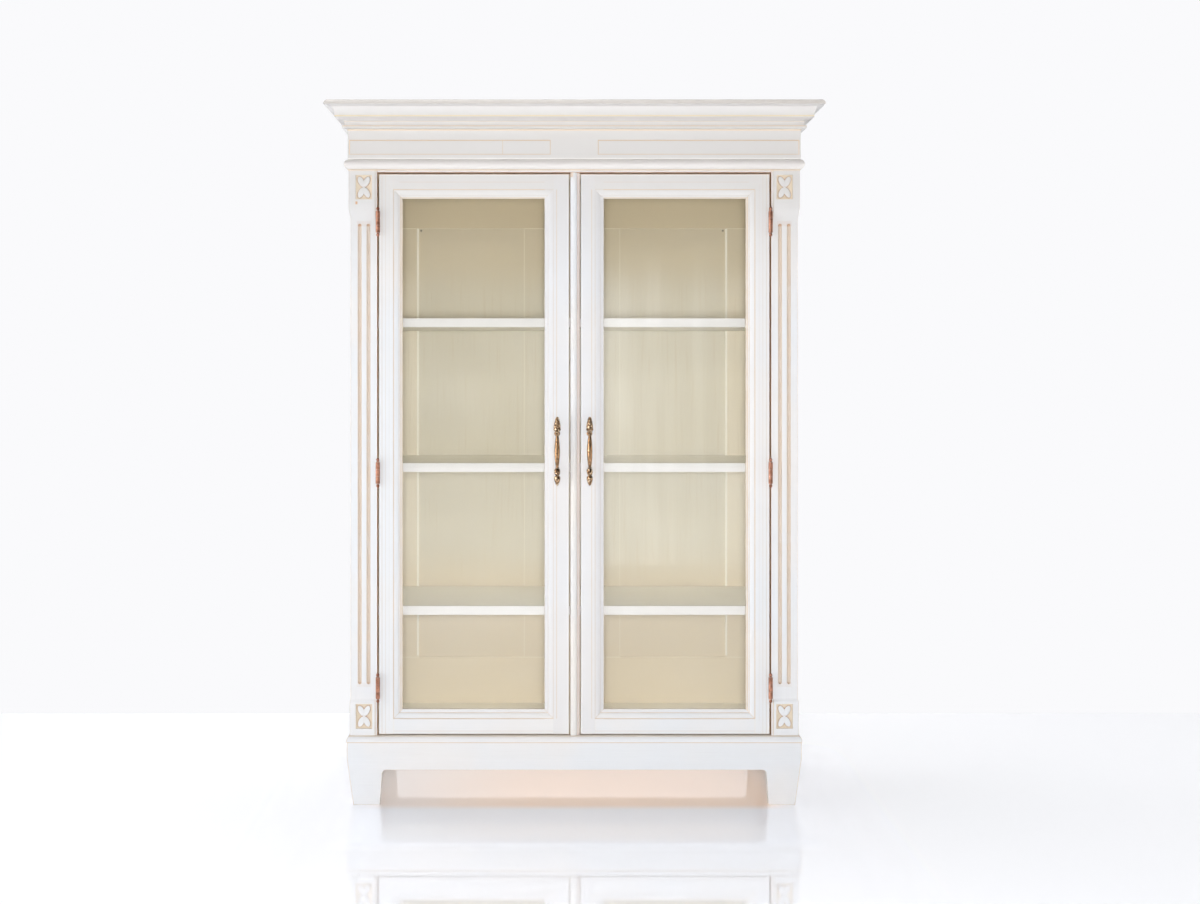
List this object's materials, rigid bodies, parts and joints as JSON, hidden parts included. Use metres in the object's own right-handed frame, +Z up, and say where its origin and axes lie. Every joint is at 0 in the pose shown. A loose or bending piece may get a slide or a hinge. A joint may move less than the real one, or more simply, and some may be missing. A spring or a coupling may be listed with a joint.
{
  "type": "display cabinet",
  "caption": "Tall free-standing display cabinet with glazed hinged doors, fluted pilasters, carved corner tiles, deep moulded crown, loose shelves and bracket feet.",
  "frame": {"origin": "on the floor under the middle of the cabinet's box", "axes": "+Z up, front faces -Y, +X to the right as seen from the front"},
  "size_m": [1.408, 0.486, 2],
  "materials": {
    "painted_wood": "antique white paint, edges rubbed to tan",
    "interior_paint": "warm beige paint",
    "glass": "clear float glass",
    "aged_brass": "aged antique brass",
    "hinge_bronze": "worn copper bronze",
    "steel": "zinc plated"
  },
  "bodies": {
    "carcass": {"crown_front": "painted_wood", "crown_left": "painted_wood", "crown_right": "painted_wood", "frieze_front": "painted_wood", "frieze_left": "painted_wood", "frieze_right": "painted_wood", "bead_front": "painted_wood", "bead_left": "painted_wood", "bead_right": "painted_wood", "base_front": "painted_wood", "base_left": "painted_wood", "base_right": "painted_wood", "side_panel_left": "painted_wood", "side_panel_right": "painted_wood", "top_rail": "painted_wood", "pilaster_left": "painted_wood", "pilaster_right": "painted_wood", "carved_tiles": "painted_wood", "centre_post": "painted_wood", "dust_board": "painted_wood", "base_back": "interior_paint", "glue_blocks": "interior_paint", "bottom_board": "interior_paint", "top_board": "interior_paint", "partition": "interior_paint", "back_bottom_rail": "interior_paint", "back_top_rail": "interior_paint", "back_middle_stile": "interior_paint", "back_stile_left": "interior_paint", "back_stile_right": "interior_paint", "back_panel_left": "interior_paint", "back_panel_right": "interior_paint", "shelf_left_lower": "interior_paint", "shelf_left_middle": "interior_paint", "shelf_left_upper": "interior_paint", "shelf_right_lower": "interior_paint", "shelf_right_middle": "interior_paint", "shelf_right_upper": "interior_paint", "hinge_frame_leaves": "hinge_bronze", "hinge_pins": "hinge_bronze", "shelf_pegs": "steel", "door_catches": "steel"},
    "left_door": {"left_door_hinge_stile": "painted_wood", "left_door_meeting_stile": "painted_wood", "left_door_top_rail": "painted_wood", "left_door_bottom_rail": "painted_wood", "left_door_glazing_beads": "painted_wood", "left_door_glass": "glass", "left_door_handle": "aged_brass", "left_door_hinge_leaves": "hinge_bronze", "left_door_strike": "steel"},
    "right_door": {"right_door_hinge_stile": "painted_wood", "right_door_meeting_stile": "painted_wood", "right_door_top_rail": "painted_wood", "right_door_bottom_rail": "painted_wood", "right_door_glazing_beads": "painted_wood", "right_door_glass": "glass", "right_door_handle": "aged_brass", "right_door_hinge_leaves": "hinge_bronze", "right_door_strike": "steel"}
  },
  "joints": [
    {"name": "left_door_hinge", "type": "hinge", "parent": "carcass", "child": "left_door", "pos_m": [-0.5586, -0.182, 0.948], "axis": [0, 0, -1], "range_deg": [0, 110]},
    {"name": "right_door_hinge", "type": "hinge", "parent": "carcass", "child": "right_door", "pos_m": [0.5586, -0.182, 0.948], "axis": [0, 0, 1], "range_deg": [0, 110]}
  ]
}
